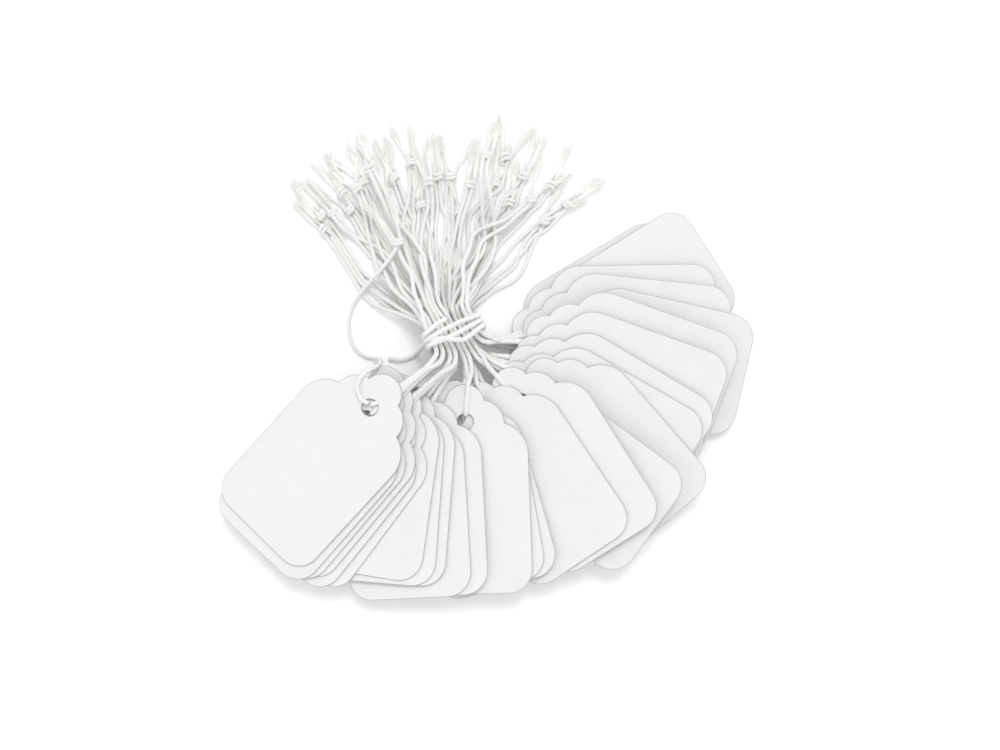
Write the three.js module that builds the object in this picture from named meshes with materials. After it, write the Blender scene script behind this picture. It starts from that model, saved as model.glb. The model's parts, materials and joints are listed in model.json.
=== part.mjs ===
import * as THREE from "three";

// A bundle of strung merchandise tags, tied at the waist and fanned out on a table.
// Millimetres, +Z up. Places in TAGS are measured from the tie, x to the right and y away.

// Card of one tag
const CARD_LENGTH = 47;
const CARD_WIDTH = 28;
const CARD_THICKNESS = 0.28;
const CORNER_RADIUS = 5.5;
const HOLE_RADIUS = 1.9;
const HOLE_TO_TIP = 8.5;
const CROWN_ALONG = 4.7; // notches beside the middle lobe, from the hole towards the tip
const CROWN_ACROSS = 4.45;
const CROWN_RISE = 3.8; // how far the middle lobe swells past the line between its notches
const SIDE_ALONG = 0.6; // notches beside the shoulders, from the hole away from the tip
const SIDE_ACROSS = 8.9;
const SHOULDER_ALONG = 7; // where the card reaches its full width
const LOBE_RISE = 1.25;

// Cotton string: two strands side by side, pressed flat where it lies between cards
const STRAND = 1;
const PAIR_WIDTH = 1.8; // the two strands squeezed side by side
const PRESSED = 0.12;
const LEG_WIDTH = 1.3; // the pressed string over and under its card
const LEG_STOP = 3.4; // the pressed string ends this far from where it turns into the waist
const KNOT_WIDTH = 3.2;
const KNOT_HEIGHT = 2.2;
const TAIL_LENGTH = 11;
const TAIL_WIDTH = 2.6;

// Waist of the bundle and the tie round it
const WAIST_HEADING = 117; // degrees, the way the strings run through the tie
const WAIST_RUN = 4; // straight run of the outer strings to each side of the tie's middle
const LANE_STEP = 1.9; // each lane further in runs straight for this much longer
const WAIST_REACH = 22; // from the leg, the part of a string that climbs and turns
const LANES = 5;
const TIE_STRAND = 1.1;
const TIE_TURNS = 3;
const TIE_PITCH = 1.6;
const TIE_CORNER = 2;

// Clearances
const LIE_GAP = 0.05; // between a piece and what it lies on
const BESIDE_GAP = 0.5; // between two strings side by side in the waist
const WRAP_GAP = 0.3; // between the strings and the tie

// Movement
const SWING = 12; // degrees each way that a tag swings on its string
const STEEPEST = 0.7; // how steeply a string climbs over what lies below it

// Tags from the lowest to the top one: hole, heading of the card in degrees, lean (how much its
// left side is raised), droop (how much its far end is lowered), knot, and sideways bow of the
// string on its way to the knot
const TAGS = [
  { hole: [20, -3.5], heading: 33, lean: 0, droop: 0, lane: 0, knot: [20.2, 26.5], bow: -2 },
  { hole: [26.5, -1.5], heading: 34, lean: 0.02, droop: 0, lane: 0, knot: [25, 30], bow: 1.5 },
  { hole: [21.5, 2], heading: 3, lean: 0.04, droop: 0, lane: 0, knot: [12, 30], bow: 1 },
  { hole: [24, 1], heading: -4, lean: 0.07, droop: 0, lane: 0, knot: [21.6, 34.4], bow: -1 },
  { hole: [28.5, -1.5], heading: -11, lean: 0.08, droop: 0, lane: 0, knot: [15.6, 37], bow: 1.5 },
  { hole: [24.5, -1.5], heading: -18, lean: 0.12, droop: -0.03, lane: 0, knot: [17, 31], bow: -1.5 },
  { hole: [22, -6], heading: -18, lean: 0.15, droop: -0.05, lane: 1, knot: [9, 35], bow: -1 },
  { hole: [20, -9], heading: -29, lean: 0.16, droop: -0.03, lane: 1, knot: [1, 28], bow: 1 },
  { hole: [17.5, -12.5], heading: -28, lean: 0.16, droop: -0.03, lane: 1, knot: [11, 40], bow: -1.5 },
  { hole: [23, -13], heading: -47, lean: 0.15, droop: 0.02, lane: 1, knot: [3, 33], bow: 1.5 },
  { hole: [14, -21], heading: -35, lean: 0.16, droop: -0.1, lane: 2, knot: [-1.3, 36.3], bow: -1 },
  { hole: [15, -15.5], heading: -56, lean: 0.17, droop: -0.055, lane: 1, knot: [6.6, 39], bow: -1 },
  { hole: [7.9, -18.6], heading: -54.5, lean: 0.17, droop: -0.06, lane: 2, knot: [-8, 30], bow: 1 },
  { hole: [0, -20], heading: -72, lean: 0.15, droop: -0.03, lane: 2, knot: [-4.3, 36.3], bow: -1 },
  { hole: [0.6, -19], heading: -78, lean: 0.145, droop: -0.01, lane: 2, knot: [-10, 39.5], bow: 1 },
  { hole: [2.5, -20], heading: -86, lean: 0.15, droop: 0.014, lane: 2, knot: [-6, 34], bow: -1 },
  { hole: [-8, -20.5], heading: -85, lean: 0.145, droop: -0.01, lane: 3, knot: [-14, 36.3], bow: -1 },
  { hole: [-12, -21], heading: -84.5, lean: 0.145, droop: 0, lane: 3, knot: [-20.8, 35], bow: 1 },
  { hole: [-13, -17.5], heading: -92.5, lean: 0.135, droop: 0.02, lane: 3, knot: [-16, 32], bow: -1 },
  { hole: [-15.5, -17.5], heading: -92, lean: 0.13, droop: 0.027, lane: 4, knot: [-26, 33], bow: -1 },
  { hole: [-16, -16], heading: -96, lean: 0.125, droop: 0.044, lane: 4, knot: [-31, 28], bow: 1 },
  { hole: [-14, -20], heading: -125, lean: 0.08, droop: 0.1, lane: 3, knot: [-22, 32.5], bow: 1 },
  { hole: [-16, -20.5], heading: -127, lean: 0.075, droop: 0.11, lane: 3, knot: [-18.7, 36.8], bow: -1 },
  { hole: [-16, -18.5], heading: -128, lean: 0.073, droop: 0.12, lane: 4, knot: [-24, 28.8], bow: -1 },
  { hole: [-18, -19], heading: -128.5, lean: 0.073, droop: 0.13, lane: 4, knot: [-29.7, 24], bow: 1 },
  { hole: [-19.5, -19.5], heading: -129.5, lean: 0.07, droop: 0.14, lane: 4, knot: [-27.9, 28], bow: -1 },
  { hole: [-18.5, -17], heading: -131, lean: 0.07, droop: 0.15, lane: 4, knot: [-12.8, 20.6], bow: -1 },
];

const white = (color, roughness) =>
  new THREE.MeshStandardMaterial({ color, roughness, metalness: 0 });
const CARD_FINISH = white(0xf0efed, 0.85);
const STRING_FINISH = white(0xf3f1ec, 0.95);

const degrees = THREE.MathUtils.degToRad;
const toward = (heading) => new THREE.Vector2(Math.cos(degrees(heading)), Math.sin(degrees(heading)));
const leftOf = (v) => new THREE.Vector2(-v.y, v.x);
const { lerp, clamp } = THREE.MathUtils;

// A pile is a map of how high each spot of the table is covered so far. The cards with the legs
// of their strings are one pile, and the strings between the cards and the knots another.
const CELL = 0.5;
const FINE = 0.2; // cells of the strings' pile
const REACH = Math.ceil(Math.max(...TAGS.map((tag) => Math.hypot(...tag.hole))) + CARD_LENGTH);

class Pile {
  constructor(size) {
    this.size = size;
    this.row = Math.round((2 * REACH) / size) + 1;
    this.heights = new Float32Array(this.row * this.row);
  }
  cell(value) {
    return Math.round((value + REACH) / this.size);
  }
  spot(x, y) {
    return this.cell(y) * this.row + this.cell(x);
  }
  spotsAbout(x, y, radius) {
    const found = [];
    for (let v = this.cell(y - radius); v <= this.cell(y + radius); v += 1) {
      for (let u = this.cell(x - radius); u <= this.cell(x + radius); u += 1) {
        const away = Math.hypot(u * this.size - REACH - x, v * this.size - REACH - y);
        if (away <= radius) found.push(v * this.row + u);
      }
    }
    return found;
  }
  topOf(spots) {
    return spots.reduce((most, at) => Math.max(most, this.heights[at]), 0);
  }
  raise(spots, height) {
    for (const at of spots) this.heights[at] = Math.max(this.heights[at], height);
  }
}

const cardPile = new Pile(CELL);
const stringPile = new Pile(FINE);

// An arc from the shape's last point to end, swelling to the right by rise
function arcTo(shape, end, rise, steps) {
  const start = shape.currentPoint.clone();
  const chord = end.clone().sub(start);
  const radius = (chord.length() ** 2 / 4 + rise ** 2) / (2 * rise);
  const middle = start.clone().add(end).multiplyScalar(0.5);
  const centre = middle.addScaledVector(leftOf(chord).normalize(), radius - rise);
  const from = start.clone().sub(centre).angle();
  let turn = end.clone().sub(centre).angle() - from;
  if (turn < 0) turn += 2 * Math.PI;
  for (let i = 1; i <= steps; i += 1) {
    const angle = from + (turn * i) / steps;
    shape.lineTo(centre.x + radius * Math.cos(angle), centre.y + radius * Math.sin(angle));
  }
}

// Outline of the card about its hole, with x running to the far end
function cardOutline() {
  const far = CARD_LENGTH - HOLE_TO_TIP;
  const half = CARD_WIDTH / 2;
  const corner = CORNER_RADIUS;
  const cornerRise = corner * (1 - Math.SQRT1_2);
  const point = (x, y) => new THREE.Vector2(x, y);
  const shape = new THREE.Shape();
  shape.moveTo(SHOULDER_ALONG, -half);
  shape.lineTo(far - corner, -half);
  arcTo(shape, point(far, corner - half), cornerRise, 3);
  shape.lineTo(far, half - corner);
  arcTo(shape, point(far - corner, half), cornerRise, 3);
  shape.lineTo(SHOULDER_ALONG, half);
  arcTo(shape, point(SIDE_ALONG, SIDE_ACROSS), LOBE_RISE, 3);
  arcTo(shape, point(-CROWN_ALONG, CROWN_ACROSS), LOBE_RISE, 3);
  arcTo(shape, point(-CROWN_ALONG, -CROWN_ACROSS), CROWN_RISE, 6);
  arcTo(shape, point(SIDE_ALONG, -SIDE_ACROSS), LOBE_RISE, 3);
  arcTo(shape, point(SHOULDER_ALONG, -half), LOBE_RISE, 3);
  const hole = new THREE.Path();
  hole.absarc(0, 0, HOLE_RADIUS, 0, 2 * Math.PI, true);
  shape.holes.push(hole);
  return shape;
}

const cardSolid = new THREE.ExtrudeGeometry(cardOutline(), {
  depth: CARD_THICKNESS,
  bevelEnabled: false,
  curveSegments: 5,
}).translate(0, 0, -CARD_THICKNESS / 2);

// True where the card, swung as far as it goes, can cover a spot seen from above
function cardCovers(along, across) {
  const far = CARD_LENGTH - HOLE_TO_TIP;
  const narrow = CROWN_ACROSS;
  const widening = (CARD_WIDTH / 2 - narrow) / (SHOULDER_ALONG + HOLE_TO_TIP);
  return [-1, -0.5, 0, 0.5, 1].some((share) => {
    const angle = degrees(share * SWING);
    const x = along * Math.cos(angle) + across * Math.sin(angle);
    const y = Math.abs(across * Math.cos(angle) - along * Math.sin(angle));
    const half = Math.min(CARD_WIDTH / 2, narrow + (x + HOLE_TO_TIP) * widening) + CELL;
    return x > -HOLE_TO_TIP - CELL && x < far + CELL && y < half;
  });
}

const through = toward(WAIST_HEADING);
const acrossWaist = leftOf(through).negate();
const LANE_PITCH = PAIR_WIDTH + BESIDE_GAP;

// A place in the waist, by its lane and how far along it is from the tie's middle
function inLane(lane, along) {
  const aside = ((LANES - 1) / 2 - lane) * LANE_PITCH;
  return acrossWaist.clone().multiplyScalar(aside).addScaledVector(through, along);
}

// How far from the tie's middle a lane's strings turn
const turnOf = (lane) => WAIST_RUN + LANE_STEP * Math.min(lane, LANES - 1 - lane);

// The way from the hole to where its string turns into the waist, and the length of its legs
function legOf(tag) {
  const way = inLane(tag.lane, -turnOf(tag.lane)).sub(new THREE.Vector2(...tag.hole));
  const length = way.length() - LEG_STOP;
  return { home: way.normalize(), length };
}

// The card's plane, lowered until it rests on the pile
function settleCard(tag) {
  const [holeX, holeY] = tag.hole;
  const ahead = toward(tag.heading);
  const left = leftOf(ahead);
  const { home, length } = legOf(tag);
  const slope = ahead.clone().multiplyScalar(-tag.droop).addScaledVector(left, tag.lean);
  const covered = [];
  let base = 0;
  for (let dx = -CARD_LENGTH; dx <= CARD_LENGTH; dx += CELL) {
    for (let dy = -CARD_LENGTH; dy <= CARD_LENGTH; dy += CELL) {
      const run = dx * home.x + dy * home.y;
      const aside = Math.abs(dy * home.x - dx * home.y);
      const onLeg = run > -HOLE_RADIUS && run < length + CELL && aside < LEG_WIDTH / 2 + CELL;
      const onCard = cardCovers(dx * ahead.x + dy * ahead.y, dx * left.x + dy * left.y);
      if (!onLeg && !onCard) continue;
      const below = cardPile.topOf([cardPile.spot(holeX + dx, holeY + dy)]);
      const gap = below > 0 ? LIE_GAP : 0;
      const legRoom = onLeg ? PRESSED + LIE_GAP : 0;
      const floor = below + gap + legRoom + CARD_THICKNESS / 2;
      base = Math.max(base, floor - slope.x * dx - slope.y * dy);
      if (onCard) covered.push([dx, dy]);
    }
  }
  const heightAt = (dx, dy) => base + slope.x * dx + slope.y * dy;
  for (const [dx, dy] of covered) {
    cardPile.raise([cardPile.spot(holeX + dx, holeY + dy)], heightAt(dx, dy) + CARD_THICKNESS / 2);
  }
  return { base, slope, heightAt };
}

function makeCard(name, tag, plane) {
  const normal = new THREE.Vector3(-plane.slope.x, -plane.slope.y, 1).normalize();
  const ahead = toward(tag.heading);
  const xAxis = new THREE.Vector3(ahead.x, ahead.y, ahead.dot(plane.slope)).normalize();
  const yAxis = new THREE.Vector3().crossVectors(normal, xAxis);
  const mesh = new THREE.Mesh(cardSolid, CARD_FINISH);
  mesh.name = name;
  mesh.quaternion.setFromRotationMatrix(new THREE.Matrix4().makeBasis(xAxis, yAxis, normal));
  mesh.position.set(tag.hole[0], tag.hole[1], plane.base);
  return mesh;
}

// The card's own string lies on top of it, on its way to the tie
function coverLegs(tag, plane) {
  const { home, length } = legOf(tag);
  const half = LEG_WIDTH / 2 + CELL / 2;
  for (let along = -CELL; along <= length; along += CELL / 2) {
    for (let across = -half; across <= half; across += CELL / 2) {
      const dx = home.x * along - home.y * across;
      const dy = home.y * along + home.x * across;
      const top = plane.heightAt(dx, dy) + CARD_THICKNESS / 2 + LIE_GAP + PRESSED;
      cardPile.raise([cardPile.spot(tag.hole[0] + dx, tag.hole[1] + dy)], top);
    }
  }
}

// A closed tube through stations, each with its own place, side, width and height. Its rings are
// square to the tube, or upright where a station gives the way up
function sweep(stations, sides) {
  const points = [];
  const faces = [];
  const grow = 1 / Math.cos(Math.PI / sides);
  stations.forEach((station, i) => {
    const before = stations[Math.max(i - 1, 0)].at;
    const after = stations[Math.min(i + 1, stations.length - 1)].at;
    const along = after.clone().sub(before).normalize();
    const square = new THREE.Vector3().crossVectors(along, station.side).normalize();
    const up = station.up ?? square;
    const side = station.up ? station.side : new THREE.Vector3().crossVectors(up, along);
    for (let s = 0; s < sides; s += 1) {
      const angle = ((s + 0.5) * 2 * Math.PI) / sides;
      const point = station.at.clone();
      point.addScaledVector(side, (grow * station.width * Math.cos(angle)) / 2);
      point.addScaledVector(up, (grow * station.height * Math.sin(angle)) / 2);
      points.push(point);
    }
  });
  const ring = (i, s) => i * sides + (s % sides);
  for (let i = 0; i + 1 < stations.length; i += 1) {
    for (let s = 0; s < sides; s += 1) {
      faces.push(ring(i, s), ring(i, s + 1), ring(i + 1, s));
      faces.push(ring(i, s + 1), ring(i + 1, s + 1), ring(i + 1, s));
    }
  }
  const last = stations.length - 1;
  for (let s = 1; s + 1 < sides; s += 1) {
    faces.push(ring(0, 0), ring(0, s + 1), ring(0, s));
    faces.push(ring(last, 0), ring(last, s), ring(last, s + 1));
  }
  const geometry = new THREE.BufferGeometry().setFromPoints(points);
  geometry.setIndex(faces);
  geometry.computeVertexNormals();
  return geometry;
}

// Plan of a string from the end of its tail to where its legs start
function stringPlan(tag) {
  const turn = turnOf(tag.lane);
  const leave = inLane(tag.lane, turn);
  const inner = [inLane(tag.lane, turn - 1), inLane(tag.lane, 1 - turn)];
  const corner = inLane(tag.lane, -turn);
  const { home, length } = legOf(tag);
  const legStart = new THREE.Vector2(...tag.hole).addScaledVector(home, length);
  const turned = corner.clone().addScaledVector(home, -1);
  const knot = new THREE.Vector2(...tag.knot);
  const out = knot.clone().sub(leave).normalize();
  const half = leave.clone().lerp(knot, 0.5).addScaledVector(leftOf(out), tag.bow);
  const tail = knot.clone().addScaledVector(out, TAIL_LENGTH);
  const places = [tail, knot, half, leave, ...inner, corner, turned, legStart];
  const flat = places.map((p) => new THREE.Vector3(p.x, p.y, 0));
  return new THREE.CatmullRomCurve3(flat, false, "centripetal");
}

// Width and height of the doubled string, by how far it is past its knot and before its legs
function sectionAt(pastKnot, toLeg) {
  if (Math.abs(pastKnot) < KNOT_WIDTH / 2) return { width: KNOT_WIDTH, height: KNOT_HEIGHT };
  if (pastKnot < 0) return { width: TAIL_WIDTH, height: STRAND };
  const fullness = clamp(toLeg / WAIST_RUN, 0, 1);
  const width = lerp(LEG_WIDTH, PAIR_WIDTH, fullness);
  return { width, height: lerp(PRESSED, STRAND, fullness) };
}

// Rings of the string's tube from its tail to where its legs start, seen from above
function stopsAlong(plan) {
  const length = plan.getLength();
  const knotEnd = TAIL_LENGTH + KNOT_WIDTH / 2;
  const runs = [0, -1 / 2, -1 / 4, 1 / 4, 1 / 2].map((share, i) => i && TAIL_LENGTH + share * KNOT_WIDTH);
  const near = length - WAIST_REACH;
  const far = Math.round((near - knotEnd) / (5 * STRAND));
  for (let i = 1; i <= far; i += 1) runs.push(lerp(knotEnd, near, i / far));
  const close = Math.round(WAIST_REACH / (2 * STRAND));
  for (let i = 1; i <= close; i += 1) runs.push(lerp(near, length, i / close));
  return runs.map((run) => {
    const ahead = plan.getTangentAt(run / length);
    const side = new THREE.Vector3(-ahead.y, ahead.x, 0);
    const section = sectionAt(run - TAIL_LENGTH, length - run);
    return { run, point: plan.getPointAt(run / length), side, ...section };
  });
}

// Fine samples between the rings, and the index of each ring among them
function sampleBetween(stops) {
  const samples = [];
  const marked = stops.map((stop, k) => {
    const before = stops[Math.max(k - 1, 0)];
    const count = k > 0 ? Math.ceil((stop.run - before.run) / FINE) : 1;
    for (let i = 1; i <= count; i += 1) {
      const share = i / count;
      const point = before.point.clone().lerp(stop.point, share);
      const width = lerp(before.width, stop.width, share);
      const height = lerp(before.height, stop.height, share);
      const spots = stringPile.spotsAbout(point.x, point.y, width / 2 + FINE);
      const below = stringPile.topOf(spots);
      const low = below > 0 ? below + 2 * LIE_GAP : 0;
      samples.push({ run: lerp(before.run, stop.run, share), height, spots, low });
    }
    return samples.length - 1;
  });
  return { samples, marked };
}

// Least height at one end of a run that keeps a straight line to its other end over the floor
function liftOf(floor, end, other, otherHeight) {
  let least = floor[end];
  const step = Math.sign(other - end);
  for (let i = end; i !== other; i += step) {
    const share = (other - i) / (other - end);
    least = Math.max(least, (floor[i] - (1 - share) * otherHeight) / share);
  }
  return least;
}

// Heights at the marked samples: lifted until each straight run is clear, then let down again
function heightsOver(floor, marked) {
  const heights = marked.map((i) => floor[i] + STRAND);
  for (let round = 0; round < 6; round += 1) {
    heights.forEach((_, k) => {
      const before = k > 0 ? liftOf(floor, marked[k], marked[k - 1], heights[k - 1]) : 0;
      const last = k + 1 === marked.length;
      const after = last ? 0 : liftOf(floor, marked[k], marked[k + 1], heights[k + 1]);
      heights[k] = Math.max(floor[marked[k]], before, after);
    });
  }
  return heights;
}

// Top of each ring over its underside: a sloping tube is thicker, measured straight up
function topsOf(stops, heights) {
  const slopes = stops.slice(1).map((stop, k) => (heights[k + 1] - heights[k]) / (stop.run - stops[k].run));
  return stops.map((stop, k) => {
    const before = Math.abs(slopes[Math.max(k - 1, 0)]);
    const after = Math.abs(slopes[Math.min(k, slopes.length - 1)]);
    return heights[k] + stop.height * Math.hypot(1, Math.max(before, after));
  });
}

// A string laid over the strings before it: it climbs over what lies below
function layString(tag, plane) {
  const legs = legStations(tag, plane);
  const stops = stopsAlong(stringPlan(tag));
  const { samples, marked } = sampleBetween(stops);
  const last = samples[samples.length - 1];
  last.low = Math.max(last.low, legs[0].at.z - PRESSED / 2);
  const floor = samples.map((s) =>
    samples.reduce((most, t) => Math.max(most, t.low - STEEPEST * Math.abs(s.run - t.run)), 0),
  );
  const heights = heightsOver(floor, marked);
  const tops = topsOf(stops, heights);
  for (let k = 0; k + 1 < marked.length; k += 1) {
    for (let i = marked[k]; i <= marked[k + 1]; i += 1) {
      const share = (i - marked[k]) / (marked[k + 1] - marked[k]);
      stringPile.raise(samples[i].spots, lerp(tops[k], tops[k + 1], share));
    }
  }
  const stations = stops.map(({ point, side, width }, k) => {
    const at = new THREE.Vector3(point.x, point.y, (heights[k] + tops[k]) / 2);
    return { at, side, up: new THREE.Vector3(0, 0, 1), width, height: tops[k] - heights[k] };
  });
  return stations.concat(legs);
}

// The string's legs: over the card to its hole, down through it and back beneath the card
function legStations(tag, plane) {
  const { home: plan, length } = legOf(tag);
  const hole = new THREE.Vector3(tag.hole[0], tag.hole[1], plane.base);
  const home = new THREE.Vector3(plan.x, plan.y, plan.dot(plane.slope)).normalize();
  const normal = new THREE.Vector3(-plane.slope.x, -plane.slope.y, 1).normalize();
  const side = new THREE.Vector3().crossVectors(home, normal);
  const off = CARD_THICKNESS / 2 + LIE_GAP + PRESSED / 2;
  const turnAt = HOLE_RADIUS / 2;
  const put = (along, up) => hole.clone().addScaledVector(home, along).addScaledVector(normal, up);
  const places = [put(length - LEG_WIDTH, off), put(turnAt, off)];
  places.push(put(turnAt - off, 0), put(turnAt, -off), put(length - 2 * LEG_WIDTH, -off));
  return places.map((at) => ({ at, side, width: LEG_WIDTH, height: PRESSED }));
}

// One turn of the tie: a loop with round corners, across the waist and up to the height top
function tieLoop(top) {
  const half = (LANES * LANE_PITCH) / 2 + WRAP_GAP + TIE_STRAND / 2;
  const low = TIE_STRAND / 2;
  const high = top + 2 * WRAP_GAP + TIE_STRAND / 2;
  const corner = Math.min(TIE_CORNER, (high - low) / 2.1);
  const loop = new THREE.Path();
  loop.moveTo(0, high);
  loop.absarc(corner - half, high - corner, corner, Math.PI / 2, Math.PI, false);
  loop.absarc(corner - half, low + corner, corner, Math.PI, 1.5 * Math.PI, false);
  loop.absarc(half - corner, low + corner, corner, -Math.PI / 2, 0, false);
  loop.absarc(half - corner, high - corner, corner, 0, Math.PI / 2, false);
  loop.lineTo(0, high);
  return loop;
}

// The tie winds about the waist and climbs along it, as high as the strings on each side; its
// two ends run straight for a diameter
function tieStations(topLeft, topRight) {
  const highest = Math.max(topLeft, topRight);
  const loop = tieLoop(highest);
  const steps = 24;
  const total = TIE_TURNS * steps;
  const stations = [];
  for (let i = -1; i <= total + 1; i += 1) {
    const wound = clamp(i, 0, total);
    const flat = loop.getPointAt((wound % steps) / steps);
    const slide = (wound / steps - TIE_TURNS / 2) * TIE_PITCH;
    const aside = flat.x + (wound - i) * TIE_STRAND;
    const share = clamp(0.5 + flat.x / (LANES * LANE_PITCH), 0, 1);
    const lower = highest - lerp(topLeft, topRight, share);
    const z = flat.y - (lower * (flat.y - TIE_STRAND / 2)) / (highest - TIE_STRAND / 2);
    const x = acrossWaist.x * aside + through.x * slide;
    const y = acrossWaist.y * aside + through.y * slide;
    const side = new THREE.Vector3(through.x, through.y, 0);
    stations.push({ at: new THREE.Vector3(x, y, z), side, width: TIE_STRAND, height: TIE_STRAND });
  }
  return stations;
}

// Least gap of the tie to itself, between places at least half a turn apart
function tieGap(stations) {
  let least = Infinity;
  stations.forEach((a, i) => {
    stations.forEach((b, j) => {
      if (j - i >= 12) least = Math.min(least, a.at.distanceTo(b.at) - TIE_STRAND);
    });
  });
  return least;
}

const bundle = new THREE.Group();
bundle.name = "strung_tag_bundle";

// The first strings cross the tie's lower run, so their pile starts there
const waistHalf = (LANES * LANE_PITCH) / 2;
const tieHalf = (TIE_TURNS * TIE_PITCH) / 2 + 0.8 * TIE_STRAND;
for (let aside = -waistHalf; aside <= waistHalf; aside += CELL) {
  for (let slide = -tieHalf; slide <= tieHalf; slide += CELL) {
    const x = acrossWaist.x * aside + through.x * slide;
    const y = acrossWaist.y * aside + through.y * slide;
    stringPile.raise(stringPile.spotsAbout(x, y, CELL), TIE_STRAND + 2 * WRAP_GAP);
  }
}

// The cards are settled first, then the strings are laid: the lowest of each lane, the next of
// each lane, and so on
const settled = TAGS.map((tag, index) => {
  const number = String(index + 1).padStart(2, "0");
  const layer = TAGS.slice(0, index).filter((lower) => lower.lane === tag.lane).length;
  const plane = settleCard(tag);
  coverLegs(tag, plane);
  bundle.add(makeCard("tag_" + number, tag, plane));
  return { tag, number, layer, plane };
});
settled.sort((a, b) => a.layer - b.layer);
for (const { tag, number, plane } of settled) {
  const string = new THREE.Mesh(sweep(layString(tag, plane), 8), STRING_FINISH);
  string.name = "string_" + number;
  bundle.add(string);
}

// The tie's top run slopes from the outer left lane to the outer right one, over every string
const laneTops = Array.from({ length: LANES }, (_, lane) => {
  let top = 0;
  for (let slide = -tieHalf; slide <= tieHalf; slide += FINE) {
    const at = inLane(lane, slide);
    top = Math.max(top, stringPile.topOf(stringPile.spotsAbout(at.x, at.y, PAIR_WIDTH / 2)));
  }
  return top;
});
const lineAt = (lane) => lerp(laneTops[0], laneTops[LANES - 1], lane / (LANES - 1));
const lift = Math.max(...laneTops.map((top, lane) => top - lineAt(lane)));
const winding = tieStations(laneTops[LANES - 1] + lift, laneTops[0] + lift);
console.log("Least gap of the tie to itself: " + tieGap(winding).toFixed(2) + " mm");
const tie = new THREE.Mesh(sweep(winding, 6), STRING_FINISH);
tie.name = "tie";
bundle.add(tie);

// Origin: middle of the cards' and the tie's box, at table height
const box = new THREE.Box3();
bundle.children.forEach((mesh) => {
  if (!mesh.name.startsWith("string_")) box.expandByObject(mesh, true);
});
const centre = box.getCenter(new THREE.Vector3());
bundle.children.forEach((mesh) => mesh.position.sub(new THREE.Vector3(centre.x, centre.y, box.min.z)));

export default bundle;
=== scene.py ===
# %% [markdown]
# # A bundle of strung merchandise tags
#
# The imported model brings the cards, the tie and one plain solid for each string. Every string
# is made again here as one real cord: from a frayed tail through its knot, under the tie, over
# its card, down through the hole and back beneath the card to the second tail. The cards are
# cut again with finer curves, and the tie is wound again.
#
# Lengths in the tables are millimetres, places are measured from the tie.

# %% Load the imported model
import json
import math

import bmesh
import bpy
import numpy as np
from mathutils import Matrix, Vector
from mathutils.bvhtree import BVHTree
from mathutils.kdtree import KDTree

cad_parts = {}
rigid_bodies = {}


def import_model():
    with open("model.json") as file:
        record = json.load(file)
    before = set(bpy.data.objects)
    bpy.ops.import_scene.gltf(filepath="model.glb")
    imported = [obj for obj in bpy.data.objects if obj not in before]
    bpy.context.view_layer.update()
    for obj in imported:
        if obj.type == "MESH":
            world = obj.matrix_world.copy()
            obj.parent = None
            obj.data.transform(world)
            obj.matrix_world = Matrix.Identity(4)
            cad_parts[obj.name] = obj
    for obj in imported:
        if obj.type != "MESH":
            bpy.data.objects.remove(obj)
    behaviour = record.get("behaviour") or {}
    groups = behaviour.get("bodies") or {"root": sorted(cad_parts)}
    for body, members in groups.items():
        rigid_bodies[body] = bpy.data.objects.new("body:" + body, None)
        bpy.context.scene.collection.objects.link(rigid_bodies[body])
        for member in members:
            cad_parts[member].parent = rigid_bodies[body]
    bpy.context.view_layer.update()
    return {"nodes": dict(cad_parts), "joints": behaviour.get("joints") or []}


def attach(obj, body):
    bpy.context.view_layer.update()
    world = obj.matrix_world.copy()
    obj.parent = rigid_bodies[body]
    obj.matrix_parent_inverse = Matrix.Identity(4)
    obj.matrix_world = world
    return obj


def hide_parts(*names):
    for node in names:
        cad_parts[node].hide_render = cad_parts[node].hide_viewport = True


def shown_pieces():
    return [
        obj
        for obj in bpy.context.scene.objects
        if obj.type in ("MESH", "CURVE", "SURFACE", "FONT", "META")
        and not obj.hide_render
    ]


for item in list(bpy.data.objects):
    bpy.data.objects.remove(item)
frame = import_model()
scene = bpy.context.scene
MM = 0.001

# %% [markdown]
# ## Routes of the strings
#
# Each row is one tag, from the lowest in the pile to the top one: the place of its hole, the
# lane of its string in the tie, the place of its knot, and how far the string bows to the
# side on its way there. A string has two strands side by side.

# %% Tags and strings from the lowest to the top one
ROWS = [
    ((20, -3.5), 0, (20.2, 26.5), -2), ((26.5, -1.5), 0, (25, 30), 1.5),
    ((21.5, 2), 0, (12, 30), 1), ((24, 1), 0, (21.6, 34.4), -1),
    ((28.5, -1.5), 0, (15.6, 37), 1.5), ((24.5, -1.5), 0, (17, 31), -1.5),
    ((22, -6), 1, (9, 35), -1), ((20, -9), 1, (1, 28), 1),
    ((17.5, -12.5), 1, (11, 40), -1.5), ((23, -13), 1, (3, 33), 1.5),
    ((14, -21), 2, (-1.3, 36.3), -1), ((15, -15.5), 1, (6.6, 39), -1),
    ((7.9, -18.6), 2, (-8, 30), 1), ((0, -20), 2, (-4.3, 36.3), -1),
    ((0.6, -19), 2, (-10, 39.5), 1), ((2.5, -20), 2, (-6, 34), -1),
    ((-8, -20.5), 3, (-14, 36.3), -1), ((-12, -21), 3, (-20.8, 35), 1),
    ((-13, -17.5), 3, (-16, 32), -1), ((-15.5, -17.5), 4, (-26, 33), -1),
    ((-16, -16), 4, (-31, 28), 1), ((-14, -20), 3, (-22, 32.5), 1),
    ((-16, -20.5), 3, (-18.7, 36.8), -1), ((-16, -18.5), 4, (-24, 28.8), -1),
    ((-18, -19), 4, (-29.7, 24), 1), ((-19.5, -19.5), 4, (-27.9, 28), -1),
    ((-18.5, -17), 4, (-12.8, 20.6), -1),
]
CARD_THICKNESS, CARD_LENGTH, CARD_WIDTH, HOLE_TO_TIP = 0.28, 47, 28, 8.5
STRAND = 1.0  # room that one cotton strand takes
TAIL_LENGTH = 11
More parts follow.
